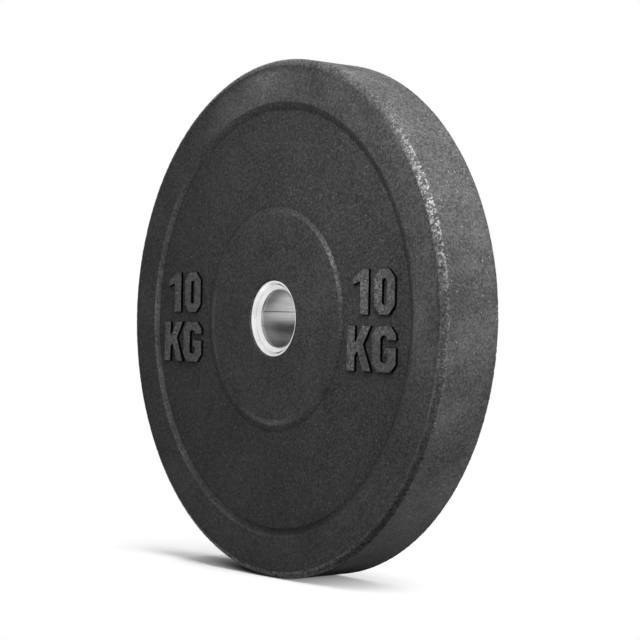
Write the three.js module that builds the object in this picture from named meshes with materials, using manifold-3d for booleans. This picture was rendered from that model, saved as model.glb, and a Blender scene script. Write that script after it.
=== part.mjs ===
// A crumb rubber bumper plate with a steel insert, for a barbell sleeve of 50 mm.
// Sizes are in millimetres. The plate stands on its rim: Z is up, the bore runs along Y and
// the front face looks towards -Y. The origin is on the bore's axis at half the thickness.

import * as THREE from 'three';
import { mergeVertices } from 'three/addons/utils/BufferGeometryUtils.js';
import Module from 'manifold-3d';

const wasm = await Module();
wasm.setup();

// Moulded disc
const plateDiameter = 450;
const plateThickness = 60;
const edgeRadius = 6;             // rounding between the tread and each face
const rimBandWidth = 37;          // flat band at full thickness, from the tread inwards
const stepRun = 6.2;              // radial run of the slope from the band down to the web
const webDepth = 2.8;             // web below the rim band
const hubDiameter = 186;
const hubSlopeRun = 5;            // radial run of the slope from the hub down to the web
const hubDepth = 1.6;             // hub face below the rim band

// Steel insert
const boreDiameter = 51;
const sleeveWall = 2;
const seamGap = 0.6;              // open butt joint of the rolled sleeve
const seamAngle = 165;            // degrees from +X towards +Z, where the joint lies in the bore
const collarWall = 5.4;           // steel around the seat of the sleeve's end
const collarLength = 12;
const collarSink = 1.1;           // collar face below the hub face
const collarEdgeBreak = 0.5;      // broken outer corner of the collar
const lipWidth = 1.1;             // flat ring around the flared mouth
const flareRunShare = 0.36;       // rounded outer flare, of the run from the lip to the bore
const flareDepth = 3.8;
const flareBendRunShare = 0.55;   // where the flare bends over, of its run and of its depth
const flareBendDepthShare = 0.3;
const grooveWidth = 0.6;          // turned line between the flare and the lead-in cone
const grooveDepth = 0.4;
const leadInDepth = 6.9;          // lead-in cone's small end below the collar face
const boreLand = 0.8;             // short cylinder between the lead-in cone and the sleeve's end

// Buried anchor disc
const anchorDiameter = 142;
const anchorThickness = 3;
const keyingHoleDiameter = 20;
const keyingHoleCount = 6;

// Fits
const seatClearance = 0.3;        // steel piece to the piece that it seats in
const cutOverrun = 1.5;           // joining solids reach this far into each other

// Facets
const discSegments = 72;
const insertSegments = 48;
const plugSegments = 20;
const slopeSteps = 4;
const roundSteps = 4;

const plateRadius = plateDiameter / 2;
const halfThickness = plateThickness / 2;
const hubY = halfThickness - hubDepth;
const webY = halfThickness - webDepth;
const hubRadius = hubDiameter / 2;
const rimInnerRadius = plateRadius - rimBandWidth;
const boreRadius = boreDiameter / 2;
const sleeveRadius = boreRadius + sleeveWall;
const sleeveSeatRadius = sleeveRadius + seatClearance;
const collarRadius = sleeveSeatRadius + collarWall;
const collarSeatRadius = collarRadius + seatClearance;
const collarFaceY = hubY - collarSink;
const collarBackY = collarFaceY - collarLength;
const sleeveShoulderDepth = leadInDepth + boreLand;
const sleeveHalfLength = collarFaceY - sleeveShoulderDepth - seatClearance;
const slotHalfWidth = anchorThickness / 2 + seatClearance;
const slotRadius = anchorDiameter / 2 + seatClearance;
const keyingPitchRadius = (sleeveRadius + anchorDiameter / 2) / 2;
const keyingHoleRadius = keyingHoleDiameter / 2;
const plugRadius = keyingHoleRadius - seatClearance;

// Facets lie outside the true circle and touch it, so that a bore keeps its full opening and
// the disc stands on a flat of its own true height.
function tangentRadius(radius, segments) {
  return radius / Math.cos(Math.PI / segments);
}

function point(radius, y) {
  return new THREE.Vector2(radius, y);
}

// Smooth slope between two levels of a moulded face, level at both ends
function slope(fromRadius, fromY, toRadius, toY) {
  const middleRadius = (fromRadius + toRadius) / 2;
  const curve = new THREE.CubicBezierCurve(
    point(fromRadius, fromY),
    point(middleRadius, fromY),
    point(middleRadius, toY),
    point(toRadius, toY)
  );
  return curve.getPoints(slopeSteps);
}

function quarterRound(centreRadius, centreY, radius) {
  const curve = new THREE.EllipseCurve(centreRadius, centreY, radius, radius, Math.PI / 2, 0, true);
  return curve.getPoints(roundSteps);
}

function mirrored(profile) {
  return profile.map((p) => point(p.x, -p.y)).reverse();
}

// Only the positions are kept and shared vertices are merged, which leaves a closed mesh.
function closedMesh(geometry) {
  geometry.deleteAttribute('normal');
  geometry.deleteAttribute('uv');
  return mergeVertices(geometry);
}

// Revolves a closed outline about the bore's axis, with a facet centred at the bottom
function revolve(profile, segments) {
  const outline = profile.map((p) => point(tangentRadius(p.x, segments), p.y));
  if (THREE.ShapeUtils.area(outline) < 0) outline.reverse();
  outline.push(outline[0].clone());
  return closedMesh(new THREE.LatheGeometry(outline, segments, Math.PI / segments, Math.PI * 2));
}

// Extrudes a flat outline along the bore's axis, centred on the plate's middle plane
function extrudeAlongBore(shape, length, curveSegments) {
  const geometry = new THREE.ExtrudeGeometry(shape, { depth: length, bevelEnabled: false, curveSegments });
  geometry.rotateX(Math.PI / 2);
  geometry.translate(0, length / 2, 0);
  return closedMesh(geometry);
}

function toSolid(geometry) {
  return new wasm.Manifold(new wasm.Mesh({
    numProp: 3,
    vertProperties: new Float32Array(geometry.attributes.position.array),
    triVerts: new Uint32Array(geometry.index.array)
  }));
}

function toGeometry(solid) {
  const mesh = solid.getMesh();
  const geometry = new THREE.BufferGeometry();
  geometry.setAttribute('position', new THREE.BufferAttribute(mesh.vertProperties, 3));
  geometry.setIndex(new THREE.BufferAttribute(mesh.triVerts, 1));
  geometry.computeVertexNormals();
  return geometry;
}

function keyingAngle(index) {
  return (index + 0.5) * Math.PI * 2 / keyingHoleCount;
}

// Moulded disc: one outline for the rim, web, hub and insert seat, with a slot around the anchor
// disc, and plugs of rubber through the keying holes that join the two sides of the slot.
function makeRubberDisc() {
  const rearHalf = [
    point(sleeveSeatRadius, slotHalfWidth),
    point(sleeveSeatRadius, collarBackY - seatClearance),
    point(collarSeatRadius, collarBackY - seatClearance),
    point(collarSeatRadius, hubY),
    ...slope(hubRadius, hubY, hubRadius + hubSlopeRun, webY),
    ...slope(rimInnerRadius - stepRun, webY, rimInnerRadius, halfThickness),
    ...quarterRound(plateRadius - edgeRadius, halfThickness - edgeRadius, edgeRadius)
  ];
  const slotFloor = [point(slotRadius, -slotHalfWidth), point(slotRadius, slotHalfWidth)];
  const outline = [...rearHalf, ...mirrored(rearHalf), ...slotFloor];
  let solid = toSolid(revolve(outline, discSegments));
  for (let i = 0; i < keyingHoleCount; i += 1) {
    const plugLength = 2 * (slotHalfWidth + cutOverrun);
    const plug = new THREE.CylinderGeometry(plugRadius, plugRadius, plugLength, plugSegments);
    const angle = keyingAngle(i);
    plug.translate(keyingPitchRadius * Math.cos(angle), 0, keyingPitchRadius * Math.sin(angle));
    solid = solid.add(toSolid(closedMesh(plug)));
  }
  return toGeometry(solid);
}

// Sleeve rolled from strip: a ring that stays open along its butt seam
function makeSleeve() {
  const inner = tangentRadius(boreRadius, insertSegments);
  const outer = tangentRadius(sleeveRadius, insertSegments);
  const seam = THREE.MathUtils.degToRad(seamAngle);
  const innerHalfGap = Math.asin(seamGap / 2 / inner);
  const outerHalfGap = Math.asin(seamGap / 2 / outer);
  const fullTurn = Math.PI * 2;
  const shape = new THREE.Shape();
  shape.absarc(0, 0, outer, seam + outerHalfGap, seam + fullTurn - outerHalfGap, false);
  shape.absarc(0, 0, inner, seam + fullTurn - innerHalfGap, seam + innerHalfGap, true);
  return extrudeAlongBore(shape, sleeveHalfLength * 2, insertSegments / 2);
}

// Turned collar: flat lip, rounded flare, turned line, lead-in cone, short land at the bore's size
// and a counterbore behind it that takes the sleeve's end. Depths count from the collar's face.
function collarOutline() {
  const lipRadius = collarRadius - collarEdgeBreak - lipWidth;
  const flareRun = (lipRadius - boreRadius) * flareRunShare;
  const flareRadius = lipRadius - flareRun;
  const outline = [
    [collarRadius, collarLength],
    [collarRadius, collarEdgeBreak],
    [collarRadius - collarEdgeBreak, 0],
    [lipRadius, 0],
    [lipRadius - flareRun * flareBendRunShare, flareDepth * flareBendDepthShare],
    [flareRadius, flareDepth],
    [flareRadius + grooveDepth, flareDepth + grooveWidth / 2],
    [flareRadius - grooveDepth, flareDepth + grooveWidth],
    [boreRadius, leadInDepth],
    [boreRadius, sleeveShoulderDepth],
    [sleeveSeatRadius, sleeveShoulderDepth],
    [sleeveSeatRadius, collarLength]
  ];
  return outline.map(([radius, depth]) => point(radius, collarFaceY - depth));
}

function makeAnchor() {
  const anchorRadius = anchorDiameter / 2;
  const fullTurn = Math.PI * 2;
  const shape = new THREE.Shape();
  shape.absarc(0, 0, anchorRadius, 0, fullTurn, false);
  const bore = new THREE.Path();
  bore.absarc(0, 0, tangentRadius(sleeveSeatRadius, insertSegments), 0, fullTurn, true);
  shape.holes.push(bore);
  for (let i = 0; i < keyingHoleCount; i += 1) {
    const angle = keyingAngle(i);
    const x = keyingPitchRadius * Math.cos(angle);
    const z = keyingPitchRadius * Math.sin(angle);
    const rim = new THREE.EllipseCurve(x, z, keyingHoleRadius, keyingHoleRadius, 0, fullTurn, true);
    shape.holes.push(new THREE.Path(rim.getPoints(plugSegments)));
  }
  return extrudeAlongBore(shape, anchorThickness, insertSegments / 2);
}

const crumbRubber = new THREE.MeshStandardMaterial({ color: 0x3a3a3b, roughness: 0.9, metalness: 0 });
const polishedSteel = new THREE.MeshStandardMaterial({ color: 0xd6d7d8, roughness: 0.25, metalness: 1 });
const rolledSteel = new THREE.MeshStandardMaterial({ color: 0xa9abac, roughness: 0.35, metalness: 1 });
const plainSteel = new THREE.MeshStandardMaterial({ color: 0x77797b, roughness: 0.6, metalness: 1 });

function piece(name, geometry, material) {
  const mesh = new THREE.Mesh(geometry, material.clone());
  mesh.name = name;
  return mesh;
}

const rearCollarOutline = collarOutline();
const frontCollarOutline = mirrored(rearCollarOutline);

const insert = new THREE.Group();
insert.add(piece('bore_sleeve', makeSleeve(), rolledSteel));
insert.add(piece('front_collar', revolve(frontCollarOutline, insertSegments), polishedSteel));
insert.add(piece('rear_collar', revolve(rearCollarOutline, insertSegments), polishedSteel));
insert.add(piece('anchor_disc', makeAnchor(), plainSteel));

const group = new THREE.Group();
group.add(piece('crumb_rubber_disc', makeRubberDisc(), crumbRubber));
group.add(insert);

export default group;
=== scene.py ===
# Crumb rubber bumper plate with a steel insert, standing on its rim on a studio floor.
# The CAD frame gives the places and main sizes. Lengths are in metres.

import math
import bpy
import bmesh
import numpy as np
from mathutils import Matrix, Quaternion, Vector
from mathutils.geometry import delaunay_2d_cdt


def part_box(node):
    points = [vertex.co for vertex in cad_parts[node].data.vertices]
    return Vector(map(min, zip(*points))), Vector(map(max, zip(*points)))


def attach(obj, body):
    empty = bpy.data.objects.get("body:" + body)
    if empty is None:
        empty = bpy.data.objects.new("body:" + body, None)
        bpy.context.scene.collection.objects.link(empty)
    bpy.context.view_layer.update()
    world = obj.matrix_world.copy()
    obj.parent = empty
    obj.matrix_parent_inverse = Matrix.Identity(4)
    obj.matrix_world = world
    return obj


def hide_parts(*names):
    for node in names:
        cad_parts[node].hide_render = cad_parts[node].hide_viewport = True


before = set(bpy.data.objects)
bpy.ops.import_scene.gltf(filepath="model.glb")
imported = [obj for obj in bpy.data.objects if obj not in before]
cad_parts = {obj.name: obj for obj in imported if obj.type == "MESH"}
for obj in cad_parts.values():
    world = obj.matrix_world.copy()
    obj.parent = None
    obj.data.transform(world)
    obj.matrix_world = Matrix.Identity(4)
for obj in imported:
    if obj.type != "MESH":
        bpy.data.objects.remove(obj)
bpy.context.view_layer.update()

fullTurn = 2 * math.pi


# Colours and nodes

def linear(hexColour):
    channels = [int(hexColour[i:i + 2], 16) / 255 for i in (1, 3, 5)]
    return tuple(c / 12.92 if c <= 0.04045 else ((c + 0.055) / 1.055) ** 2.4 for c in channels) + (1,)


# Adds a node with its settings. Its inputs come in order or by name, and each is a value, a socket,
# or another node, which stands for its first output. A Mix node of colours has them at 6 and 7, and
# its result at 2.
def addNode(tree, kind, inputs=(), **settings):
    node = tree.nodes.new(kind)
    for name, value in settings.items():
        setattr(node, name, value)
    for socket, value in inputs.items() if isinstance(inputs, dict) else enumerate(inputs):
        if isinstance(value, bpy.types.Node):
            value = value.outputs[0]
        if isinstance(value, bpy.types.NodeSocket):
            tree.links.new(value, node.inputs[socket])
        else:
            node.inputs[socket].default_value = value
    return node


def newMaterial(name):
    material = bpy.data.materials.new(name)
    material.use_nodes = True
    material.node_tree.nodes.clear()
    return material, material.node_tree


# Meshes

def addToScene(name, data):
    added = bpy.data.objects.new(name, data)
    bpy.context.scene.collection.objects.link(added)
    return added


def meshObject(name, vertices, faces, material, sharpAngle=None):
    mesh = bpy.data.meshes.new(name)
    mesh.from_pydata([tuple(v) for v in vertices], [], [tuple(f) for f in faces])
    work = bmesh.new()
    work.from_mesh(mesh)
    bmesh.ops.recalc_face_normals(work, faces=work.faces)
    work.to_mesh(mesh)
    work.free()
    mesh.shade_smooth()
    if sharpAngle:
        mesh.set_sharp_from_angle(angle=math.radians(sharpAngle))
    mesh.materials.append(material)
    return addToScene(name, mesh)


# The mesh that a piece has once its modifiers have run
def evaluatedMesh(piece):
    depsgraph = bpy.context.evaluated_depsgraph_get()
    return bpy.data.meshes.new_from_object(
        piece.evaluated_get(depsgraph), preserve_all_data_layers=True, depsgraph=depsgraph
    )


def pointAttribute(piece, name, values):
    attribute = piece.data.attributes.new(name, "FLOAT", "POINT")
    attribute.data.foreach_set("value", np.asarray(values, dtype=np.float32))


def ring(radius, y, count):
    turn = np.arange(count) * fullTurn / count
    return np.column_stack([radius * np.cos(turn), np.full(count, y), radius * np.sin(turn)])


# Faces between two rings. The finer ring may have a whole number of times the points of the other.
def bandFaces(firstStart, firstCount, secondStart, secondCount):
    if firstCount > secondCount:
        return [f[::-1] for f in bandFaces(secondStart, secondCount, firstStart, firstCount)]
    ratio = secondCount // firstCount
    faces = []
    for i in range(firstCount):
        here = firstStart + i
        beyond = firstStart + (i + 1) % firstCount
        fine = [secondStart + (i * ratio + k) % secondCount for k in range(ratio + 1)]
        if ratio == 1:
            faces.append((here, beyond, fine[1], fine[0]))
            continue
        middle = ratio // 2
        faces += [(here, fine[k + 1], fine[k]) for k in range(middle)]
        faces.append((here, beyond, fine[middle]))
        faces += [(beyond, fine[k + 1], fine[k]) for k in range(middle, ratio)]
    return faces


# Rings of points about the bore's axis, joined in order. Each row is radius, y and count.
def latheMesh(rows, closed=True):
    vertices = np.concatenate([ring(radius, y, count) for radius, y, count in rows])
    starts = np.concatenate([[0], np.cumsum([row[2] for row in rows])])
    faces = []
    for i in range(len(rows) if closed else len(rows) - 1):
        j = (i + 1) % len(rows)
        faces += bandFaces(int(starts[i]), rows[i][2], int(starts[j]), rows[j][2])
    return vertices, faces


# Points on a curve that leaves its start towards a corner and comes from there to its end
def roundedCorner(start, corner, end, steps):
    t = np.linspace(0, 1, steps + 1)[:, None]
    start, corner, end = np.array([start, corner, end], dtype=float)
    return (1 - t) ** 2 * start + 2 * t * (1 - t) * corner + t ** 2 * end


# Straight slope between two levels of a moulded face, rounded at both ends over a share of its run
def slope(start, end, roundShare, steps):
    start, end = np.array(start), np.array(end)
    rounding = (end - start) * roundShare
    level = (rounding[0], 0)
    foot = roundedCorner(start - level, start, start + rounding, steps)
    head = roundedCorner(end - rounding, end, end + level, steps)
    return np.concatenate([foot, head])


def straight(start, end, steps):
    return np.linspace(start, end, steps + 1)


# In the dictionaries below, a value of four numbers turns one span into another: from low, from
# high, to low, to high.

# Relief of the crumbs, pressed into a surface by its "relief" attribute

crumbs = dict(
    crumbSize=0.0021,       # ground rubber of 1 to 3 mm
    crumbDepth=0.00034,     # deepest gap between crumbs where the attribute is 1
    hollowSize=0.014,
    hollowDepth=0.00012,    # broad hollows that the mould leaves
    seed=4.0,
    torn=(0.62, 0.95, 0.0, 0.6),        # a crumb's chance to its depth: about a third are torn out
    gap=(0.15, 0.75, 0.0, 0.4),         # distance from a crumb's middle to depth
    hollow=(0.35, 0.75, 0.0, 1.0),
)


def makeCrumbRelief():
    tree = bpy.data.node_groups.new("crumbRelief", "GeometryNodeTree")
    sockets = [
        ("Geometry", "NodeSocketGeometry"), ("Crumb Size", "NodeSocketFloat"),
        ("Crumb Depth", "NodeSocketFloat"), ("Hollow Size", "NodeSocketFloat"),
        ("Hollow Depth", "NodeSocketFloat"), ("Seed", "NodeSocketFloat"),
        ("Material", "NodeSocketMaterial"),
    ]
    for name, kind in sockets:
        tree.interface.new_socket(name, in_out="INPUT", socket_type=kind)
    tree.interface.new_socket("Geometry", in_out="OUTPUT", socket_type="NodeSocketGeometry")
    given = addNode(tree, "NodeGroupInput").outputs
    place = addNode(tree, "GeometryNodeInputPosition")
    normal = addNode(tree, "GeometryNodeInputNormal")
    share = addNode(tree, "GeometryNodeInputNamedAttribute", {"Name": "relief"}, data_type="FLOAT")
    perCrumb = addNode(tree, "ShaderNodeMath", (1.0, given["Crumb Size"]), operation="DIVIDE")
    perHollow = addNode(tree, "ShaderNodeMath", (1.0, given["Hollow Size"]), operation="DIVIDE")
    cells = addNode(tree, "ShaderNodeTexVoronoi", {
        "Vector": place, "W": given["Seed"], "Scale": perCrumb
    }, voronoi_dimensions="4D")
    hollows = addNode(tree, "ShaderNodeTexNoise", {
        "Vector": place, "W": given["Seed"], "Scale": perHollow, "Detail": 2.0
    }, noise_dimensions="4D")
    chance = addNode(tree, "FunctionNodeSeparateColor", [cells.outputs["Color"]])
    torn = addNode(tree, "ShaderNodeMapRange", (chance, *crumbs["torn"]))
    gap = addNode(tree, "ShaderNodeMapRange", (
        cells.outputs["Distance"], *crumbs["gap"]
    ), interpolation_type="SMOOTHSTEP")
    pit = addNode(tree, "ShaderNodeMath", (torn, gap), operation="ADD")
    pit = addNode(tree, "ShaderNodeMath", (pit, share), operation="MULTIPLY")
    crumbFall = addNode(tree, "ShaderNodeMath", (pit, given["Crumb Depth"]), operation="MULTIPLY")
    hollow = addNode(tree, "ShaderNodeMapRange", (hollows, *crumbs["hollow"]))
    hollow = addNode(tree, "ShaderNodeMath", (hollow, share), operation="MULTIPLY")
    fall = addNode(tree, "ShaderNodeMath", (
        hollow, given["Hollow Depth"], crumbFall
    ), operation="MULTIPLY_ADD")
    inward = addNode(tree, "ShaderNodeMath", (fall, -1.0), operation="MULTIPLY")
    move = addNode(tree, "ShaderNodeVectorMath", {0: normal, "Scale": inward}, operation="SCALE")
    noted = addNode(tree, "GeometryNodeStoreNamedAttribute", {
        "Geometry": given["Geometry"], "Name": "pit", "Value": pit
    }, data_type="FLOAT", domain="POINT")
    moved = addNode(tree, "GeometryNodeSetPosition", {"Geometry": noted, "Offset": move})
    real = addNode(tree, "GeometryNodeRealizeInstances", [moved])
    painted = addNode(tree, "GeometryNodeSetMaterial", {"Geometry": real, "Material": given["Material"]})
    addNode(tree, "NodeGroupOutput", [painted])
    return tree


# Runs the relief on a piece and keeps the result as its plain mesh
def pressRelief(piece, tree, depthShare=1.0):
    modifier = piece.modifiers.new("crumbRelief", "NODES")
    modifier.node_group = tree
    values = {
        "Crumb Size": crumbs["crumbSize"], "Crumb Depth": crumbs["crumbDepth"] * depthShare,
        "Hollow Size": crumbs["hollowSize"], "Hollow Depth": crumbs["hollowDepth"] * depthShare,
        "Seed": crumbs["seed"], "Material": piece.data.materials[0],
    }
    for item in tree.interface.items_tree:
        if item.in_out == "INPUT" and item.name in values:
            modifier[item.identifier] = values[item.name]
    pressed = evaluatedMesh(piece)
    piece.modifiers.remove(modifier)
    piece.data = pressed
    pressed.name = piece.name


# Materials

# Ground tyre rubber bonded under heat in a steel mould: charcoal grey and matt, each crumb of its
# own tone, with fine dark gaps, a few pale crumbs, and glazed crumbs where the mould rubbed an edge.
# The disc's attributes add painted highlights, painted sheen, painted glints and painted shade to this
# colour.
rubberFinish = dict(
    darkCrumb="#262626",
    paleCrumb="#4c4c4c",
    fleck="#9b9b9a",
    openDark="#242424",     # dusty, open surface of the tread
    openPale="#5c5c5c",
    crumbSize=0.0016,
    grainSize=0.0009,       # coarser than the real bloom on the crumbs, so that it shows
    patchSize=0.045,
    bumpHeight=0.0009,
    domeShare=-0.5,         # of a crumb's bump: its height falls with the distance from its middle
    grainShare=0.5,
    coatRoughness=0.3,
    tones=(0.7, 2.3, 0.0, 1.0),         # chance, grain and patch together to a tone
    patches=(0.35, 0.65, 0.7, 1.12),    # patch to the dust's share
    flecks=(0.972, 0.985, 0.0, 0.3),    # chance to paleness: one crumb in forty is paler
    dustyFlecks=(0.0, 1.0, 1.0, 2.4),   # openness to the flecks' strength
    heart=(0.25, 0.45, 1.0, 0.0),       # distance from a crumb's middle to the fleck on it
    glintsAndPaleCrumbs=(1.15, 2.2, 0.0, 1.0),         # tone beyond the dusty colour to pale crumbs: painted glints on the disc, paler crumbs on the figures' tops
    paleCrumbChance=(0.25, 0.9, 0.0, 1.0),   # chance to a crumb's paleness there
    gaps=(0.45, 0.8, 1.0, 0.62),        # distance from a crumb's middle to tone
    pitShadeTone=(0.15, 0.8, 1.0, 0.4),         # depth of a torn crumb to tone: painted shade in the pits
    paintedShadeTone=(0.0, 1.0, 1.0, 0.05),     # painted shade to tone: the walls of the figures read nearly black
    roughness=(0.3, 0.7, 0.68, 0.85),   # of the grain
    glazedEdge=(0.6, 1.0, 0.0, 1.0),    # relief to glaze
    glazedCrumbs=(0.1, 0.7, 0.0, 1.0),  # chance to a crumb's own glaze
    shine=(0.4, 1.1, 0.15, 0.55),       # openness to specular level
    bumps=(0.0, 1.0, 0.35, 1.0),        # relief to the height of the crumbs
)


def makeCrumbRubber():
    finish = rubberFinish
    material, tree = newMaterial("bonded crumb rubber")
    place = addNode(tree, "ShaderNodeTexCoord").outputs["Object"]
    # Attributes: relief, pit depth, dusty tone that also carries painted highlights and painted sheen, and
    # painted shade
    relief, pit, dustAndSheen, paintedShade = [
        addNode(tree, "ShaderNodeAttribute", attribute_name=name).outputs["Fac"]
        for name in ("relief", "pit", "dust_and_sheen", "paintedShade")
    ]
    cells = addNode(tree, "ShaderNodeTexVoronoi", {"Vector": place, "Scale": 1 / finish["crumbSize"]})
    distance = cells.outputs["Distance"]
    chance = addNode(tree, "ShaderNodeSeparateColor", [cells.outputs["Color"]]).outputs
    grain = addNode(tree, "ShaderNodeTexNoise", {
        "Vector": place, "Scale": 1 / finish["grainSize"], "Detail": 2.0, "Roughness": 0.6
    })
    patch = addNode(tree, "ShaderNodeTexNoise", {
        "Vector": place, "Scale": 1 / finish["patchSize"], "Detail": 3.0
    })
    tone = addNode(tree, "ShaderNodeMath", (chance[0], grain), operation="ADD")
    tone = addNode(tree, "ShaderNodeMath", (tone, patch), operation="ADD")
    tone = addNode(tree, "ShaderNodeMapRange", (tone, *finish["tones"]))
    closed = addNode(tree, "ShaderNodeMix", {
        0: tone, 6: linear(finish["darkCrumb"]), 7: linear(finish["paleCrumb"])
    }, data_type="RGBA").outputs[2]
    dusty = addNode(tree, "ShaderNodeMix", {
        0: tone, 6: linear(finish["openDark"]), 7: linear(finish["openPale"])
    }, data_type="RGBA").outputs[2]
    patchy = addNode(tree, "ShaderNodeMapRange", (patch, *finish["patches"]))
    dustAndSheen = addNode(tree, "ShaderNodeMath", (dustAndSheen, patchy), operation="MULTIPLY")
    colour = addNode(tree, "ShaderNodeMix", {0: dustAndSheen, 6: closed, 7: dusty}, data_type="RGBA").outputs[2]
    # Pale crumbs: few and random on the faces, and painted glints where the tone is raised above the
    # dusty colour, most of them on the rounding
    fleck = addNode(tree, "ShaderNodeMapRange", (chance[1], *finish["flecks"]))
    strength = addNode(tree, "ShaderNodeMapRange", (dustAndSheen, *finish["dustyFlecks"]))
    fleck = addNode(tree, "ShaderNodeMath", (fleck, strength), operation="MULTIPLY")
    heart = addNode(tree, "ShaderNodeMapRange", (distance, *finish["heart"]))
    fleck = addNode(tree, "ShaderNodeMath", (fleck, heart), operation="MULTIPLY")
    glintsAndPaleCrumbs = addNode(tree, "ShaderNodeMapRange", (dustAndSheen, *finish["glintsAndPaleCrumbs"]))
    picked = addNode(tree, "ShaderNodeMapRange", (chance[0], *finish["paleCrumbChance"]))
    glintsAndPaleCrumbs = addNode(tree, "ShaderNodeMath", (glintsAndPaleCrumbs, picked), operation="MULTIPLY")
    fleck = addNode(tree, "ShaderNodeMath", (fleck, glintsAndPaleCrumbs), operation="MAXIMUM")
    colour = addNode(tree, "ShaderNodeMix", {
        0: fleck, 6: colour, 7: linear(finish["fleck"])
    }, data_type="RGBA").outputs[2]
    # Gaps between the crumbs are darker. Painted shade darkens the torn crumbs, the walls of the
    # figures and the shaded places of the disc
    gap = addNode(tree, "ShaderNodeMapRange", (distance, *finish["gaps"]))
    pitShade = addNode(tree, "ShaderNodeMapRange", (pit, *finish["pitShadeTone"]))
    shade = addNode(tree, "ShaderNodeMath", (gap, pitShade), operation="MULTIPLY")
    unshaded = addNode(tree, "ShaderNodeMapRange", (paintedShade, *finish["paintedShadeTone"]))
    shade = addNode(tree, "ShaderNodeMath", (shade, unshaded), operation="MULTIPLY")
    colour = addNode(tree, "ShaderNodeVectorMath", {0: colour, "Scale": shade}, operation="SCALE")
    # Crumbs on a rubbed edge are glazed, each one differently
    roughness = addNode(tree, "ShaderNodeMapRange", (grain, *finish["roughness"]))
    glazed = addNode(tree, "ShaderNodeMapRange", (chance[2], *finish["glazedCrumbs"]))
    edge = addNode(tree, "ShaderNodeMapRange", (relief, *finish["glazedEdge"]))
    glaze = addNode(tree, "ShaderNodeMath", (edge, glazed), operation="MULTIPLY")
    glaze = addNode(tree, "ShaderNodeMath", (glaze, unshaded), operation="MULTIPLY")
    shine = addNode(tree, "ShaderNodeMapRange", (dustAndSheen, *finish["shine"]))
    shine = addNode(tree, "ShaderNodeMath", (shine, unshaded), operation="MULTIPLY")
    # Each crumb is domed and grainy, more so where the surface is open
    domed = addNode(tree, "ShaderNodeMath", (distance, finish["domeShare"]), operation="MULTIPLY")
    height = addNode(tree, "ShaderNodeMath", (
        grain, finish["grainShare"], domed
    ), operation="MULTIPLY_ADD")
    amount = addNode(tree, "ShaderNodeMapRange", (relief, *finish["bumps"]))
    height = addNode(tree, "ShaderNodeMath", (height, amount), operation="MULTIPLY")
    bump = addNode(tree, "ShaderNodeBump", {
        "Height": height, "Distance": finish["bumpHeight"], "Strength": 1.0
    })
    shader = addNode(tree, "ShaderNodeBsdfPrincipled", {
        "Base Color": colour, "Roughness": roughness, "IOR": 1.5, "Specular IOR Level": shine,
        "Coat Weight": glaze, "Coat Roughness": finish["coatRoughness"], "Coat Normal": bump,
        "Normal": bump
    })
    addNode(tree, "ShaderNodeOutputMaterial", {"Surface": shader})
    return material


# Free-cutting steel turned on a lathe and plated: bright, with fine turned lines round the bore
turnedFinish = dict(
    bright="#f1f1f1",
    dull="#d6d6d6",
    lineSize=0.00045,       # real lines are about 0.1 mm apart, drawn coarser so that they show
    lineHeight=0.000012,
    stainSize=0.012,
    tones=(0.12, 0.4, 0.0, 1.0),        # lines times stain to a tone
    roughness=(0.3, 0.7, 0.2, 0.32),    # of the stain
)


def makeTurnedSteel():
    finish = turnedFinish
    material, tree = newMaterial("turned plated steel")
    place = addNode(tree, "ShaderNodeTexCoord").outputs["Object"]
    parts = addNode(tree, "ShaderNodeSeparateXYZ", [place]).outputs
    flat = addNode(tree, "ShaderNodeCombineXYZ", {"X": parts["X"], "Z": parts["Z"]})
    radius = addNode(tree, "ShaderNodeVectorMath", [flat], operation="LENGTH").outputs["Value"]
    along = addNode(tree, "ShaderNodeMath", (radius, parts["Y"]), operation="ADD")
    lines = addNode(tree, "ShaderNodeTexNoise", {
        "W": along, "Scale": 1 / finish["lineSize"], "Detail": 1.0
    }, noise_dimensions="1D")
    stain = addNode(tree, "ShaderNodeTexNoise", {
        "Vector": place, "Scale": 1 / finish["stainSize"], "Detail": 4.0
    })
    mixed = addNode(tree, "ShaderNodeMath", (lines, stain), operation="MULTIPLY")
    tone = addNode(tree, "ShaderNodeMapRange", (mixed, *finish["tones"]))
    colour = addNode(tree, "ShaderNodeMix", {
        0: tone, 6: linear(finish["dull"]), 7: linear(finish["bright"])
    }, data_type="RGBA").outputs[2]
    roughness = addNode(tree, "ShaderNodeMapRange", (stain, *finish["roughness"]))
    bump = addNode(tree, "ShaderNodeBump", {
        "Height": lines, "Distance": finish["lineHeight"], "Strength": 1.0
    })
    shader = addNode(tree, "ShaderNodeBsdfPrincipled", {
        "Base Color": colour, "Metallic": 1.0, "Roughness": roughness, "Normal": bump
    })
    addNode(tree, "ShaderNodeOutputMaterial", {"Surface": shader})
    return material


# Strip steel, cold rolled and bent into a tube: grey, with faint drawing marks along the bore
rolledFinish = dict(
    pale="#cfcfcf",
    dark="#b0b0b0",
    markSize=0.0012,
    markStretch=0.04,       # marks are drawn out along the bore by the inverse of this
    markHeight=0.000015,
    stainSize=0.016,
    tones=(0.12, 0.4, 0.0, 1.0),        # marks times stain to a tone
    roughness=(0.3, 0.7, 0.28, 0.4),    # of the stain
)


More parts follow.
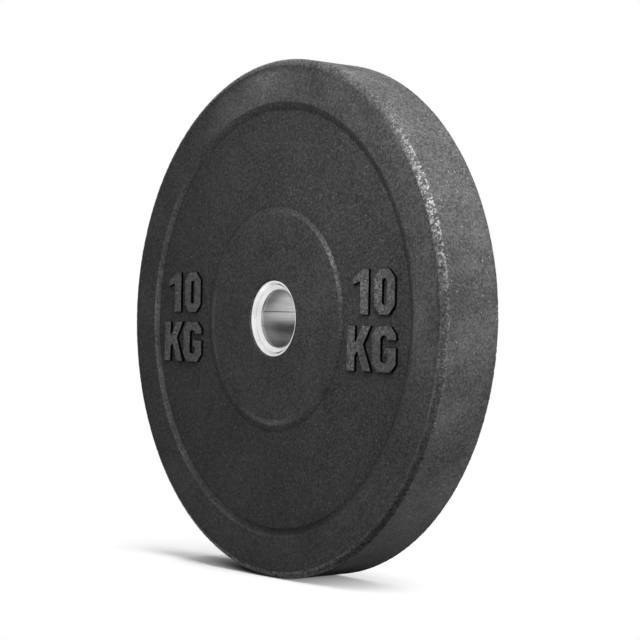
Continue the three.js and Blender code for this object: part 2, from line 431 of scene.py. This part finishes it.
def makeRolledSteel():
    finish = rolledFinish
    material, tree = newMaterial("cold rolled steel strip")
    place = addNode(tree, "ShaderNodeTexCoord").outputs["Object"]
    stretched = addNode(tree, "ShaderNodeMapping", {
        "Vector": place, "Scale": (1.0, finish["markStretch"], 1.0)
    })
    marks = addNode(tree, "ShaderNodeTexNoise", {
        "Vector": stretched, "Scale": 1 / finish["markSize"], "Detail": 2.0
    })
    stain = addNode(tree, "ShaderNodeTexNoise", {
        "Vector": place, "Scale": 1 / finish["stainSize"], "Detail": 4.0
    })
    mixed = addNode(tree, "ShaderNodeMath", (marks, stain), operation="MULTIPLY")
    tone = addNode(tree, "ShaderNodeMapRange", (mixed, *finish["tones"]))
    colour = addNode(tree, "ShaderNodeMix", {
        0: tone, 6: linear(finish["dark"]), 7: linear(finish["pale"])
    }, data_type="RGBA").outputs[2]
    roughness = addNode(tree, "ShaderNodeMapRange", (stain, *finish["roughness"]))
    bump = addNode(tree, "ShaderNodeBump", {
        "Height": marks, "Distance": finish["markHeight"], "Strength": 1.0
    })
    shader = addNode(tree, "ShaderNodeBsdfPrincipled", {
        "Base Color": colour, "Metallic": 1.0, "Roughness": roughness, "Normal": bump
    })
    addNode(tree, "ShaderNodeOutputMaterial", {"Surface": shader})
    return material


# Laser-cut sheet steel, left with its mill scale: dark, blotchy and dull
scaleFinish = dict(
    pale="#6d6f72",
    dark="#3c3d40",
    blotchSize=0.009,
    blotchHeight=0.0002,
    bumpStrength=0.5,
    roughness=(0.3, 0.7, 0.45, 0.7),    # of the blotches
)


def makeScaledSteel():
    finish = scaleFinish
    material, tree = newMaterial("mill scale steel sheet")
    place = addNode(tree, "ShaderNodeTexCoord").outputs["Object"]
    blotch = addNode(tree, "ShaderNodeTexNoise", {
        "Vector": place, "Scale": 1 / finish["blotchSize"], "Detail": 5.0
    })
    colour = addNode(tree, "ShaderNodeMix", {
        0: blotch, 6: linear(finish["dark"]), 7: linear(finish["pale"])
    }, data_type="RGBA").outputs[2]
    roughness = addNode(tree, "ShaderNodeMapRange", (blotch, *finish["roughness"]))
    bump = addNode(tree, "ShaderNodeBump", {
        "Height": blotch, "Distance": finish["blotchHeight"], "Strength": finish["bumpStrength"]
    })
    shader = addNode(tree, "ShaderNodeBsdfPrincipled", {
        "Base Color": colour, "Metallic": 1.0, "Roughness": roughness, "Normal": bump
    })
    addNode(tree, "ShaderNodeOutputMaterial", {"Surface": shader})
    return material


crumbRubber = makeCrumbRubber()
turnedSteel = makeTurnedSteel()
rolledSteel = makeRolledSteel()
scaledSteel = makeScaledSteel()
crumbRelief = makeCrumbRelief()
print("materials made")


# Sizes that the CAD boxes give

discLow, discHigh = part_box("crumb_rubber_disc")
collarLow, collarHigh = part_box("front_collar")
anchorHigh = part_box("anchor_disc")[1]
floorZ = discLow[2]
plateRadius = discHigh[2]
halfThickness = discHigh[1]
collarRadius = collarHigh[2]
collarFaceY = -collarLow[1]
collarBackY = -collarHigh[1]
anchorRadius = anchorHigh[0]
anchorHalfThickness = anchorHigh[1]

insert = dict(
    boreRadius=0.0255,
    sleeveWall=0.002,
    sleeveEdge=0.0002,      # broken edges of the rolled strip
    seamGap=0.0006,
    seamAngle=165,          # degrees from +X towards +Z
    seatClearance=0.0003,
    edgeBreak=0.0005,
    backEdge=0.0002,        # of the collar, inside the rubber
    lipWidth=0.0011,
    lipRound=0.0003,        # rounding between the lip and the flare
    flareRound=0.2,         # and the share of the flare that it takes
    flareRunShare=0.36,
    flareDepth=0.0027,
    grooveWidth=0.0006,
    lineDepth=0.0003,       # of the turned line, which the CAD cuts deeper
    leadInDepth=0.0052,
    leadInRound=0.0001,     # where the cone meets the bore
    boreLand=0.0025,
    keyingHoleRadius=0.010,
    keyingHoleCount=6,
    segments=192,
    cornerSteps=4,          # of each small rounding
    sharpAngle=24,          # degrees between faces that don't shade as one
)

sleeveRadius = insert["boreRadius"] + insert["sleeveWall"]
sleeveSeatRadius = sleeveRadius + insert["seatClearance"]
collarSeatRadius = collarRadius + insert["seatClearance"]
collarSeatY = collarBackY - insert["seatClearance"]
slotRadius = anchorRadius + insert["seatClearance"]
slotHalfWidth = anchorHalfThickness + insert["seatClearance"]


# Moulded disc

disc = dict(
    edgeRun=0.007,          # rounding between face and tread: it ends in a crease at the mould's joint
    edgeDrop=0.0046,
    edgeOnset=0.2,          # share of the rounding over which the crumbs grow to their full depth
    creaseReach=0.0003,
    rimBandWidth=0.037,
    stepRun=0.0058,
    stepRound=0.12,         # share of each slope that is rounded at either end
    webDepth=0.0028,
    hubRadius=0.093,
    hubSlopeRun=0.005,
    hubRound=0.25,
    hubDepth=0.0016,
    seatEdge=0.0006,        # rounding where the hub face meets the collar
    seatRing=0.003,         # smooth ring beyond it
    rimCount=1080,          # points around
    faceCount=360,
    seatCount=180,
    plugCount=24,
    cornerSteps=3,          # of each small rounding
    edgeRows=10,            # rows across
    hubRows=8,
    hubEdgeRows=3,
    webRows=12,
    bandRows=6,
    treadRows=7,
)

hubY = halfThickness - disc["hubDepth"]
webY = halfThickness - disc["webDepth"]
webStart = disc["hubRadius"] + disc["hubSlopeRun"]
bandStart = plateRadius - disc["rimBandWidth"]
webEnd = bandStart - disc["stepRun"]
edgeStart = plateRadius - disc["edgeRun"]

# Share of the crumbs' depth on each part of the disc
reliefShare = dict(seat=0.0, face=0.12, slope=0.2, band=0.2, edge=1.0, tread=0.4)

# Tones are shares of the dusty colour. The tone is lighter on the convex edges, and places around
# the plate add painted highlights, painted glints and painted sheen where the light falls. Painted
# shade darkens the feet of the slopes, the lower tread and the sides away from the light. A place
# around the plate is its middle and its reach to either side, in degrees from +X towards +Z, and its
# strength.
wearAndPaintedLight = dict(
    hubTone=0.3,
    hubReach=0.0055,        # of the light line on the hub's edge, inwards
    edgeTone=0.2,
    bandReach=0.0022,       # of the light line on the band's inner edge, outwards
    bandTone=0.38,
    # painted shade at the feet of the slopes
    footReach=0.0018,
    paintedFootShade=0.36,
    hubSlopeHighlight=(36, 40, 1.4),            # slope around the hub, with a painted highlight where it faces the light
    hubLines=((266, 30, 0.9), (188, 34, 0.45), (85, 18, 0.4)),
    stepSlopeHighlight=(182, 46, 1.25),         # slope from the web up to the band, with a painted highlight on its left side, which faces the light
    # painted highlight along the top edge of that slope at the bottom of the plate
    stepEdgeHighlight=(262, 26, 0.5),
    # painted shade on that slope at the bottom of the plate and on its right
    stepShadeBelow=(281, 34, 0.45),
    stepShaded=(35, 40, 0.15),
    # painted sheen on the band at the top and on the right
    bandSheen=((92, 20, 0.95), (4, 24, 0.5)),
    edgeGlints=((24, 17, 1.65), (-8, 24, 0.75)),    # rounding between face and tread, with painted glints where it faces the light
    edgePorous=(-42, 48, 1.1),          # more crumbs are torn out here
    # painted shade on the rounding, low on the right
    edgeLowShade=((-53, 32, 0.78), (-8, 24, 0.3)),
    shadeRise=1.8,                       # how fast that painted shade grows across the rounding
    edgeShaded=(186, 62, 0.6),
    treadTone=0.85,
    # painted sheen high on the tread
    treadSheen=(70, 14, 0.7),
    # painted shade on the tread near the floor and at its very top
    treadShade=((-82, 36, 0.75), (-84, 14, 0.6), (92, 10, 0.6)),
)


# Share at each point of a ring, strongest at the given places around the plate
def around(count, *places):
    shares = np.zeros(count)
    for middle, reach, strength in places:
        turn = (np.arange(count) * 360 / count - middle + 180) % 360 - 180
        shares += strength * np.exp(-(turn / reach) ** 2)
    return shares


# Rows of half the disc, from the insert's seat out to the tread: radius, height over the middle
# plane, count of points and share of the relief
def discRows():
    d = disc
    s = reliefShare
    rim, face, steps = d["rimCount"], d["faceCount"], d["cornerSteps"]
    rows = []

    def add(points, count, share):
        rows.extend((p[0], p[1], count, share) for p in points)

    seat = [
        (sleeveSeatRadius, slotHalfWidth), (sleeveSeatRadius, collarSeatY), (collarSeatRadius, collarSeatY)
    ]
    seatTop = roundedCorner(
        (collarSeatRadius, hubY - d["seatEdge"]), (collarSeatRadius, hubY),
        (collarSeatRadius + d["seatEdge"], hubY), steps
    )
    hubInner = (collarSeatRadius + d["seatRing"], hubY)
    wornFrom = (d["hubRadius"] - wearAndPaintedLight["hubReach"], hubY)
    hubEdge = (d["hubRadius"], hubY)
    bandEdge = (bandStart, halfThickness)
    wornTo = (bandStart + wearAndPaintedLight["bandReach"], halfThickness)
    add(seat, d["seatCount"], s["seat"])
    add(seatTop, face, s["seat"])
    add(straight(hubInner, wornFrom, d["hubRows"])[:-1], face, s["face"])
    add(straight(wornFrom, hubEdge, d["hubEdgeRows"])[:-1], face, s["face"])
    add(slope(hubEdge, (webStart, webY), d["hubRound"], steps), face, s["slope"])
    add([(webStart + wearAndPaintedLight["footReach"], webY)], face, s["face"])
    add(straight((webStart, webY), (webEnd, webY), d["webRows"])[1:-1], face, s["face"])
    add([(webEnd - wearAndPaintedLight["footReach"], webY)], rim, s["face"])
    add(slope((webEnd, webY), bandEdge, d["stepRound"], steps), rim, s["slope"])
    add(straight(wornTo, (edgeStart, halfThickness), d["bandRows"])[:-1], rim, s["band"])
    arcRadius = (d["edgeRun"] ** 2 + d["edgeDrop"] ** 2) / (2 * d["edgeDrop"])
    arcTurn = math.asin(d["edgeRun"] / arcRadius)
    for i in range(d["edgeRows"]):
        along = i / (d["edgeRows"] - 1)
        turn = arcTurn * along
        radius = edgeStart + arcRadius * math.sin(turn)
        y = halfThickness - arcRadius * (1 - math.cos(turn))
        add([(radius, y)], rim, s["band"] + (s["edge"] - s["band"]) * min(along / d["edgeOnset"], 1))
    crease = halfThickness - d["edgeDrop"]
    add([(plateRadius, crease - d["creaseReach"])], rim, s["tread"])
    add(straight((plateRadius, crease), (plateRadius, 0), d["treadRows"])[1:-1], rim, s["tread"])
    return rows


# Dusty tone with painted highlights, and painted shade, around a row
def rowTones(radius, count):
    w = wearAndPaintedLight
    hub, halfLine = disc["hubRadius"], w["bandReach"] / 2
    tones = [
        (hub - w["hubReach"], w["hubTone"]), (hub - w["hubReach"] / 2, w["edgeTone"]),
        (hub, w["edgeTone"]), (webStart, 0), (bandStart - halfLine, 0), (bandStart, w["edgeTone"]),
        (bandStart + halfLine, w["edgeTone"]), (bandStart + w["bandReach"], w["bandTone"]),
        (edgeStart, w["bandTone"]), (plateRadius, 1),
    ]
    # Painted shade at the feet of the slopes
    footShades = [
        (foot + reach, paintedShade) for foot in (webStart, webEnd)
        for reach, paintedShade in ((-w["footReach"], 0), (0, w["paintedFootShade"]), (w["footReach"], 0))
    ]
    tone = np.full(count, np.interp(radius, *zip(*tones)))
    paintedShade = np.full(count, np.interp(radius, *zip(*footShades)))
    if hub < radius < webStart:
        tone += around(count, w["hubSlopeHighlight"])
    if hub - w["hubReach"] < radius <= hub:
        tone += around(count, *w["hubLines"])
    if webEnd < radius < bandStart:
        tone += around(count, w["stepSlopeHighlight"])
        paintedShade += around(count, w["stepShadeBelow"], w["stepShaded"])
    if bandStart - halfLine < radius < bandStart + w["bandReach"]:
        tone += around(count, w["stepEdgeHighlight"])
    if bandStart <= radius < edgeStart:
        tone += around(count, *w["bandSheen"])
    if edgeStart < radius < plateRadius:
        tone += around(count, *w["edgeGlints"])
        across = min(w["shadeRise"] * (radius - edgeStart) / disc["edgeRun"], 1)
        paintedShade += across * around(count, *w["edgeLowShade"]) + around(count, w["edgeShaded"])
    if radius >= plateRadius:
        tone = w["treadTone"] + around(count, w["treadSheen"])
        paintedShade += around(count, *w["treadShade"])
    return tone, paintedShade


# The two walls of the slot round the anchor disc, and the rubber plugs through its keying holes
def slotWalls(frontInner, frontOuter, rearInner, rearOuter, count, vertexCount):
    holes, plugCount = insert["keyingHoleCount"], disc["plugCount"]
    angles = np.arange(count) * fullTurn / count
    plugAngles = np.arange(plugCount) * fullTurn / plugCount
    plugRadius = insert["keyingHoleRadius"] - insert["seatClearance"]
    pitchRadius = (sleeveRadius + anchorRadius) / 2
    rings = [(0, 0, sleeveSeatRadius, angles), (0, 0, slotRadius, angles)]
    centres = []
    for i in range(holes):
        turn = (i + 0.5) * fullTurn / holes
        centres.append((pitchRadius * math.cos(turn), pitchRadius * math.sin(turn)))
        rings.append((*centres[-1], plugRadius, plugAngles))
    flat, edges = [], []
    for x, z, radius, turns in rings:
        start = len(flat)
        flat += [Vector((x + radius * math.cos(t), z + radius * math.sin(t))) for t in turns]
        edges += [(start + k, start + (k + 1) % len(turns)) for k in range(len(turns))]
    samePlace = 1e-9        # points nearer than this are one
    points, _, triangles, origins, _, _ = delaunay_2d_cdt(flat, edges, [], 1, samePlace)
    plugFlat = flat[2 * count:]
    newPoints = [(p.x, y, p.y) for y in (-slotHalfWidth, slotHalfWidth) for p in plugFlat]
    front = list(range(frontInner, frontInner + count)) + list(range(frontOuter, frontOuter + count))
    rear = list(range(rearInner, rearInner + count)) + list(range(rearOuter, rearOuter + count))
    front += [vertexCount + k for k in range(len(plugFlat))]
    rear += [vertexCount + len(plugFlat) + k for k in range(len(plugFlat))]
    inside = 0.98           # share of a ring's radius, so that no triangle outside its chords counts
    faces = []
    for triangle in triangles:
        centre = sum((points[k] for k in triangle), Vector((0, 0))) / 3
        inPlug = any((centre - Vector(c)).length < plugRadius * inside for c in centres)
        if inPlug or centre.length < sleeveSeatRadius * inside:
            continue
        corner = [origins[k][0] for k in triangle]
        faces.append([front[k] for k in corner])
        faces.append([rear[k] for k in reversed(corner)])
    for hole in range(holes):
        start = 2 * count + hole * plugCount
        for k in range(plugCount):
            a = start + k
            b = start + (k + 1) % plugCount
            faces.append([front[a], front[b], rear[b], rear[a]])
    return newPoints, faces


def makeDisc():
    half = discRows()
    count = disc["seatCount"]
    middle = (plateRadius, 0, disc["rimCount"], reliefShare["tread"])
    front = [(radius, -y, n, share) for radius, y, n, share in half]
    rows = front + [middle] + half[::-1]
    vertices, faces = latheMesh([row[:3] for row in rows], closed=False)
    rearInner = len(vertices) - count
    frontOuter = len(vertices)
    rearOuter = frontOuter + count
    slotRings = [ring(slotRadius, y, count) for y in (-slotHalfWidth, slotHalfWidth)]
    vertices = np.concatenate([vertices, *slotRings])
    faces += bandFaces(rearOuter, count, frontOuter, count)
    plugPoints, wallFaces = slotWalls(0, frontOuter, rearInner, rearOuter, count, len(vertices))
    vertices = np.concatenate([vertices, plugPoints])
    relief, dustAndSheenRows, paintedShade = [], [], []
    for radius, _, n, share in rows:
        porous = (edgeStart < radius < plateRadius) * around(n, wearAndPaintedLight["edgePorous"])
        relief.append(share * (1 + porous))
        tone, rowShade = rowTones(radius, n)
        dustAndSheenRows.append(tone)
        paintedShade.append(rowShade)
    hidden = np.zeros(2 * count + len(plugPoints))
    piece = meshObject("rubber_disc", vertices, faces + wallFaces, crumbRubber)
    # Dusty tone with painted highlights and painted sheen, and painted shade, go on the points
    for name, shares in (("relief", relief), ("dust_and_sheen", dustAndSheenRows), ("paintedShade", paintedShade)):
        pointAttribute(piece, name, np.concatenate([*shares, hidden]))
    pressRelief(piece, crumbRelief)
    return piece


rubberDisc = makeDisc()
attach(rubberDisc, "root")
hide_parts("crumb_rubber_disc")
print("rubber disc", len(rubberDisc.data.polygons), "faces")


# Raised figures, moulded with the disc: the weight in plain block figures, twice on each face

figures = dict(
    blockDistance=0.1375,   # from the bore to the middle of a block
    printTurn=-1.3,         # degrees that the print is turned about the bore
    rowHeight=0.038,
    rowGap=0.008,
    rise=0.00275,           # above the web
    sunk=0.0012,            # below the web's surface
    bevel=0.0004,
    cornerRadius=0.0009,
    cornerShare=0.4,        # a rounded corner takes at most this much of a side
    voxel=0.0006,
    topDepth=0.00006,       # of the worn top, below which a figure turns into wall that painted shade darkens
    wallOnset=0.00025,      # over this depth
    topRelief=0.6,
    wallRelief=0.2,         # more than the top
    topTone=1.4,
    reliefDepth=2.2,        # times that of the disc's crumbs
)

# Outlines in shares of the row's height, each from its own left edge
glyphs = dict(
    one=[[(0.26, 0), (0.56, 0), (0.56, 1), (0.36, 1), (0, 0.80), (0, 0.62), (0.26, 0.72)]],
    zero=[
        [(0.2, 0), (0.5, 0), (0.7, 0.2), (0.7, 0.8), (0.5, 1), (0.2, 1), (0, 0.8), (0, 0.2)],
        [(0.285, 0.24), (0.285, 0.76), (0.415, 0.76), (0.415, 0.24)],
    ],
    k=[[
        (0, 0), (0.28, 0), (0.28, 0.34), (0.36, 0.43), (0.54, 0), (0.84, 0), (0.56, 0.58),
        (0.83, 1), (0.52, 1), (0.28, 0.62), (0.28, 1), (0, 1)
    ]],
    g=[[
        (0.18, 0), (0.62, 0), (0.80, 0.18), (0.80, 0.55), (0.41, 0.55), (0.41, 0.38), (0.50, 0.38),
        (0.50, 0.27), (0.46, 0.23), (0.34, 0.23), (0.30, 0.27), (0.30, 0.73), (0.34, 0.77), (0.46, 0.77),
        (0.50, 0.73), (0.50, 0.68), (0.80, 0.68), (0.80, 0.82), (0.62, 1), (0.18, 1), (0, 0.82), (0, 0.18)
    ]],
)

# Each glyph of a block: its outline, left edge in metres and row, counted upwards
blockLayout = [("one", -0.0266, 1), ("zero", 0.0008, 1), ("k", -0.0325, 0), ("g", -0.0006, 0)]


# Corner points of an outline, each replaced by three points of a small arc
def roundedOutline(corners, radius):
    points = []
    for i, corner in enumerate(corners):
        here = Vector(corner)
        before = Vector(corners[i - 1]) - here
        after = Vector(corners[(i + 1) % len(corners)]) - here
        most = figures["cornerShare"]
        reach = min(radius, before.length * most, after.length * most)
        start = here + before.normalized() * reach
        end = here + after.normalized() * reach
        middle = (start + here * 2 + end) / 4
        points += [start, middle, end]
    return points


def figureBlock(name, centre, side):
    f = figures
    curve = bpy.data.curves.new(name, "CURVE")
    curve.dimensions = "2D"
    curve.fill_mode = "BOTH"
    curve.extrude = (f["rise"] + f["sunk"]) / 2 - f["bevel"]
    curve.bevel_depth = f["bevel"]
    curve.offset = -f["bevel"]
    curve.bevel_resolution = 1
    for glyph, left, row in blockLayout:
        base = f["rowGap"] / 2 if row else -f["rowGap"] / 2 - f["rowHeight"]
        for outline in glyphs[glyph]:
            corners = [(left + x * f["rowHeight"], base + z * f["rowHeight"]) for x, z in outline]
            points = roundedOutline(corners, f["cornerRadius"])
            spline = curve.splines.new("POLY")
            spline.points.add(len(points) - 1)
            for point, place in zip(spline.points, points):
                point.co = (place.x, place.y, 0, 1)
            spline.use_cyclic_u = True
    source = addToScene(name, curve)
    mesh = evaluatedMesh(source)
    bpy.data.objects.remove(source)
    bpy.data.curves.remove(curve)
    # On the rear face the block is read from behind, so its x is turned round with its depth
    middleY = webY + (f["rise"] - f["sunk"]) / 2
    turn = math.radians(f["printTurn"])
    for vertex in mesh.vertices:
        x, z, depth = vertex.co
        x += centre
        turned = (x * math.cos(turn) - z * math.sin(turn), x * math.sin(turn) + z * math.cos(turn))
        vertex.co = (turned[0] * side, -side * (middleY + depth), turned[1])
    return addToScene(name, mesh)


# Remeshes a block finely and evenly so that the relief can roughen its edges
def finishFigures(piece):
    f = figures
    remesh = piece.modifiers.new("remesh", "REMESH")
    remesh.mode = "VOXEL"
    remesh.voxel_size = f["voxel"]
    remesh.use_smooth_shade = True
    mesh = evaluatedMesh(piece)
    piece.modifiers.clear()
    piece.data = mesh
    mesh.materials.clear()
    mesh.materials.append(crumbRubber)
    corners = np.empty(len(mesh.vertices) * 3)
    mesh.vertices.foreach_get("co", corners)
    height = np.abs(corners.reshape(-1, 3)[:, 1])
    below = np.clip((webY + f["rise"] - height - f["topDepth"]) / f["wallOnset"], 0, 1)
    pointAttribute(piece, "relief", f["topRelief"] + f["wallRelief"] * below)
    # Painted shade on the walls of the figures
    pointAttribute(piece, "paintedShade", below)
    pointAttribute(piece, "dust_and_sheen", f["topTone"] * (1 - below))
    pressRelief(piece, crumbRelief, f["reliefDepth"])


for side, faceName in ((1, "front"), (-1, "rear")):
    for centre, placeName in ((-figures["blockDistance"], "left"), (figures["blockDistance"], "right")):
        block = figureBlock(f"{faceName}_{placeName}_figures", centre, side)
        finishFigures(block)
        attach(block, "root")
        print(block.name, len(block.data.polygons), "faces")


# Collars. Their outline is radius and depth from the collar's face.

def collarProfile():
    c = insert
    bore, edge = c["boreRadius"], c["edgeBreak"]
    lip = collarRadius - edge - c["lipWidth"]
    flareRun = (lip - bore) * c["flareRunShare"]
    shoulder = c["leadInDepth"] + c["boreLand"]
    length = collarFaceY - collarBackY
    steps = c["cornerSteps"]
    outerEdge = roundedCorner((collarRadius, edge), (collarRadius, 0), (collarRadius - edge, 0), steps)
    flareEnd = (lip - flareRun * c["flareRound"], c["flareDepth"] * c["flareRound"])
    flareTop = roundedCorner((lip + c["lipRound"], 0), (lip, 0), flareEnd, steps)
    return [
        (collarRadius, length - c["backEdge"]),
        *outerEdge,
        *flareTop,
        (lip - flareRun, c["flareDepth"]),
        (lip - flareRun + c["lineDepth"], c["flareDepth"] + c["grooveWidth"] / 3),
        (lip - flareRun - c["lineDepth"], c["flareDepth"] + c["grooveWidth"] * 2 / 3),
        (bore + 2 * c["leadInRound"], c["leadInDepth"] - c["leadInRound"]),
        (bore, c["leadInDepth"] + c["leadInRound"]),
        (bore, shoulder),
        (sleeveSeatRadius, shoulder),
        (sleeveSeatRadius, length),
        (collarRadius - c["backEdge"], length),
    ]


def makeCollar(name, side):
    rows = [(radius, side * (collarFaceY - depth), insert["segments"]) for radius, depth in collarProfile()]
    vertices, faces = latheMesh(rows)
    return meshObject(name, vertices, faces, turnedSteel, insert["sharpAngle"])


for side, name in ((-1, "front_collar"), (1, "rear_collar")):
    collar = makeCollar("turned_" + name, side)
    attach(collar, "root")
    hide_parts(name)
print("collars made")


# Sleeve, rolled from strip, open along its seam

def makeSleeve():
    c = insert
    bore, edge = c["boreRadius"], c["sleeveEdge"]
    halfLength = collarFaceY - c["leadInDepth"] - c["boreLand"] - c["seatClearance"]
    section = [
        (bore, -halfLength + edge), (bore + edge, -halfLength),
        (sleeveRadius - edge, -halfLength), (sleeveRadius, -halfLength + edge),
        (sleeveRadius, halfLength - edge), (sleeveRadius - edge, halfLength),
        (bore + edge, halfLength), (bore, halfLength - edge),
    ]
    seam = math.radians(c["seamAngle"])
    halfGap = math.asin(c["seamGap"] / 2 / bore)
    turns = np.linspace(seam + halfGap, seam + fullTurn - halfGap, c["segments"] + 1)
    vertices = [(r * math.cos(t), y, r * math.sin(t)) for t in turns for r, y in section]
    size = len(section)
    faces = []
    for i in range(c["segments"]):
        for k in range(size):
            j = (k + 1) % size
            faces.append((i * size + k, i * size + j, (i + 1) * size + j, (i + 1) * size + k))
    faces.append(tuple(range(size)))
    faces.append(tuple(range(c["segments"] * size, (c["segments"] + 1) * size)))
    return meshObject("rolled_sleeve", vertices, faces, rolledSteel, c["sharpAngle"])


sleeve = makeSleeve()
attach(sleeve, "root")
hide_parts("bore_sleeve")

# The anchor disc keeps its CAD shape
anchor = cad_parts["anchor_disc"]
anchor.material_slots[0].material = scaledSteel
print("sleeve and anchor made")


# Studio: a pale floor, a white surround for what the camera and the steel see, and soft lamps

studio = dict(
    floorHalf=6.0,
    floorColour="#ececec",
    bounceColour="#6e6e6e",     # thrown back on the object, as in a studio with dark flags
    surroundColour="#ffffff",
    glow=0.42,                  # of the floor, for the camera and the steel, so that it reads white
    glowReach=0.055,            # an object nearer than this shades the glow: a painted contact shadow
    glowPower=2.0,
    shadeMiddle=(-0.09, 0.015),
    shadeSpan=(0.09, 0.25),     # distances from there between which the floor turns into backdrop
    # A dark flag that the steel mirrors, behind the plate on its right. It fades by direction: with
    # Y, with X and twice with Z.
    flagBehind=(0.15, 0.4, 0.0, 1.0),
    flagAside=(-0.65, -0.2, 0.0, 1.0),
    flagAbove=(-0.02, 0.24, 0.0, 0.955),
    flagOver=(0.6, 0.85, 1.0, 0.7),
)


def makeFloor():
    material, tree = newMaterial("pale studio floor")
    white = linear(studio["surroundColour"])
    paint = addNode(tree, "ShaderNodeBsdfDiffuse", {"Color": linear(studio["floorColour"])})
    bounce = addNode(tree, "ShaderNodeBsdfDiffuse", {"Color": linear(studio["bounceColour"])})
    # Ambient occlusion takes the glow away near the plate: a painted contact shadow on the floor
    free = addNode(tree, "ShaderNodeAmbientOcclusion", {"Distance": studio["glowReach"]}).outputs["AO"]
    free = addNode(tree, "ShaderNodeMath", (free, studio["glowPower"]), operation="POWER")
    strength = addNode(tree, "ShaderNodeMath", (free, studio["glow"]), operation="MULTIPLY")
    glow = addNode(tree, "ShaderNodeEmission", {"Color": white, "Strength": strength})
    backdrop = addNode(tree, "ShaderNodeEmission", {"Color": white, "Strength": 1.0})
    place = addNode(tree, "ShaderNodeTexCoord").outputs["Object"]
    away = addNode(tree, "ShaderNodeVectorMath", (
        place, (*studio["shadeMiddle"], floorZ)
    ), operation="DISTANCE").outputs["Value"]
    far = addNode(tree, "ShaderNodeMapRange", (away, *studio["shadeSpan"]))
    path = addNode(tree, "ShaderNodeLightPath").outputs
    seen = addNode(tree, "ShaderNodeMath", (
        path["Is Camera Ray"], path["Is Glossy Ray"]
    ), operation="MAXIMUM")
    both = addNode(tree, "ShaderNodeAddShader", (paint, glow))
    shown = addNode(tree, "ShaderNodeMixShader", (far, both, backdrop))
    mixed = addNode(tree, "ShaderNodeMixShader", (seen, bounce, shown))
    addNode(tree, "ShaderNodeOutputMaterial", {"Surface": mixed})
    h = studio["floorHalf"]
    corners = [(-h, -h, floorZ), (h, -h, floorZ), (h, h, floorZ), (-h, h, floorZ)]
    floor = meshObject("floor", corners, [(0, 1, 2, 3)], material)


# The world shows white to the camera and, apart from the flag, to the steel, and lights nothing
def makeWorld():
    world = bpy.data.worlds.new("studio")
    bpy.context.scene.world = world
    world.use_nodes = True
    tree = world.node_tree
    tree.nodes.clear()
    path = addNode(tree, "ShaderNodeLightPath").outputs
    direction = addNode(tree, "ShaderNodeTexCoord").outputs["Generated"]
    parts = addNode(tree, "ShaderNodeSeparateXYZ", [direction]).outputs
    behind = addNode(tree, "ShaderNodeMapRange", (parts["Y"], *studio["flagBehind"]))
    aside = addNode(tree, "ShaderNodeMapRange", (parts["X"], *studio["flagAside"]))
    above = addNode(tree, "ShaderNodeMapRange", (parts["Z"], *studio["flagAbove"]))
    over = addNode(tree, "ShaderNodeMapRange", (parts["Z"], *studio["flagOver"]))
    above = addNode(tree, "ShaderNodeMath", (above, over), operation="MULTIPLY")
    dark = addNode(tree, "ShaderNodeMath", (above, aside), operation="MULTIPLY")
    dark = addNode(tree, "ShaderNodeMath", (dark, behind), operation="MULTIPLY")
    mirrored = addNode(tree, "ShaderNodeMath", (1.0, dark), operation="SUBTRACT")
    glossy = addNode(tree, "ShaderNodeMath", (path["Is Glossy Ray"], mirrored), operation="MULTIPLY")
    seen = addNode(tree, "ShaderNodeMath", (
        path["Is Camera Ray"], path["Is Transmission Ray"]
    ), operation="MAXIMUM")
    seen = addNode(tree, "ShaderNodeMath", (seen, glossy), operation="MAXIMUM")
    light = addNode(tree, "ShaderNodeBackground", {
        "Color": linear(studio["surroundColour"]), "Strength": seen
    })
    addNode(tree, "ShaderNodeOutputWorld", {"Surface": light})


# Azimuth is counted from the front face's normal, -Y, towards +X, in degrees. Sizes are width and
# height. A lamp that isn't mirrored stays out of the steel.
lamps = dict(
    side=dict(azimuth=85, elevation=4, distance=3.0, size=(0.6, 0.6), power=70),
    front=dict(azimuth=22, elevation=27, distance=0.45, size=(0.25, 0.25), power=0.84, mirrored=False),
    high=dict(azimuth=60, elevation=37, distance=0.43, size=(0.12, 0.12), power=0.78, mirrored=False),
    top=dict(azimuth=91, elevation=62, distance=2.3, size=(1.9, 1.9), power=78, mirrored=False),
)


def makeLamp(name, azimuth, elevation, distance, size, power, mirrored=True):
    light = bpy.data.lights.new(name, "AREA")
    light.shape = "RECTANGLE"
    light.size, light.size_y = size
    light.energy = power
    lamp = addToScene(name, light)
    turn = math.radians(azimuth)
    up = math.radians(elevation)
    outward = Vector((math.sin(turn) * math.cos(up), -math.cos(turn) * math.cos(up), math.sin(up)))
    lamp.location = outward * distance
    lamp.rotation_euler = (-outward).to_track_quat("-Z", "Y").to_euler()
    lamp.visible_camera = False
    lamp.visible_glossy = mirrored


makeFloor()
makeWorld()
for name, lamp in lamps.items():
    makeLamp(name, **lamp)


# Camera, worked out from the outlines of the disc and its rings in the photograph

view = dict(
    place=(1.16562, -0.88769, -0.02557),
    aim=(0.069588, -0.030, -0.002106),
    roll=0.223,             # degrees
    lens=93.562,            # mm
    sensor=36,              # mm wide
    clipStart=0.05,
)


def makeCamera():
    data = bpy.data.cameras.new("camera")
    data.lens = view["lens"]
    data.sensor_width = view["sensor"]
    data.clip_start = view["clipStart"]
    camera = addToScene("camera", data)
    camera.location = view["place"]
    forward = Vector(view["aim"]) - Vector(view["place"])
    camera.rotation_mode = "QUATERNION"
    turned = forward.to_track_quat("-Z", "Y")
    camera.rotation_quaternion = turned @ Quaternion((0, 0, 1), math.radians(view["roll"]))
    bpy.context.scene.camera = camera


makeCamera()
bpy.context.scene.view_settings.view_transform = "Standard"

print("studio, camera and sizes done")
